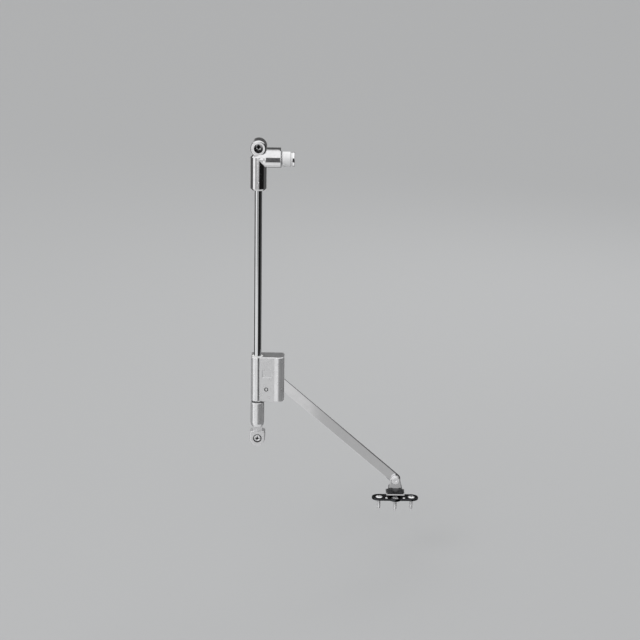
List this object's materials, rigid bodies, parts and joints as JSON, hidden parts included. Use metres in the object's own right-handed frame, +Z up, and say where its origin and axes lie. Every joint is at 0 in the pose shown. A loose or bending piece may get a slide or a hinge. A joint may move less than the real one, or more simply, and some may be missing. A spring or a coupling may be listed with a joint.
{
  "type": "lid stay",
  "caption": "Braked lid stay for a drop-down flap: slider on a fixed round rod, flat arm to a flap bracket, and a magnetic catch at the top",
  "frame": {"origin": "axis of the lower fixing hole on the mounting face, which is the face of the side panel", "axes": "+X to the cabinet's front, +Y into the side panel, +Z up along the rod"},
  "size_m": [0.1675, 0.0351, 0.368],
  "materials": {
    "bright_nickel": "polished, with a cast skin",
    "satin_nickel": "satin, with a cast skin",
    "polished_chrome": "polished",
    "plated_steel": "bright plated",
    "screw_steel": "bright zinc plated",
    "black_nickel": "gloss black nickel",
    "black_plastic": "gloss",
    "pale_plastic": "satin",
    "magnet": "dull sintered",
    "bush_plastic": "satin",
    "washer_plastic": "matt",
    "buffer_rubber": "matt"
  },
  "bodies": {
    "rail": {"rod": "polished_chrome", "rod_cross_pin": "screw_steel", "upper_bracket": "bright_nickel", "upper_fixing_screw": "screw_steel", "lower_bracket": "satin_nickel", "lower_fixing_screw": "screw_steel", "stop_buffer": "buffer_rubber"},
    "catch": {"catch_stub": "pale_plastic", "catch_magnet": "magnet", "upper_pole_plate": "plated_steel", "lower_pole_plate": "plated_steel"},
    "slider": {"slider_housing": "satin_nickel", "slider_back_cover": "plated_steel", "upper_guide_bush": "bush_plastic", "lower_guide_bush": "bush_plastic", "brake_shoe": "bush_plastic", "brake_screw": "screw_steel", "arm_pivot_pin": "screw_steel"},
    "arm": {"arm": "plated_steel", "front_arm_washer": "washer_plastic", "back_arm_washer": "washer_plastic"},
    "flap_bracket": {"flap_knuckle": "bright_nickel", "knuckle_rivet": "screw_steel", "knuckle_washer": "washer_plastic", "clip_housing": "black_plastic", "clip_tray": "plated_steel", "flap_plate": "black_nickel", "left_plate_screw": "screw_steel", "middle_plate_screw": "screw_steel", "right_plate_screw": "screw_steel", "left_saddle_rivet": "screw_steel", "right_saddle_rivet": "screw_steel"}
  },
  "joints": [
    {"name": "slider_slide", "type": "slide", "parent": "rail", "child": "slider", "axis": [0, 0, 1], "range_m": [0, 0.162]},
    {"name": "arm_swing", "type": "hinge", "parent": "slider", "child": "arm", "pos_m": [0.01, -0.0105, 0.0695], "axis": [0, 1, 0], "range_deg": [-10, 46.5]},
    {"name": "flap_turn", "type": "hinge", "parent": "arm", "child": "flap_bracket", "pos_m": [0.13698, -0.0125, -0.0405], "axis": [0, 1, 0], "range_deg": [-137, 30]},
    {"name": "catch_adjust", "type": "slide", "parent": "rail", "child": "catch", "axis": [1, 0, 0], "range_m": [-0.0009, 0.002]}
  ],
  "couplings": [
    {"joint": "flap_turn", "follows": "arm_swing", "ratio": -2.9355}
  ]
}
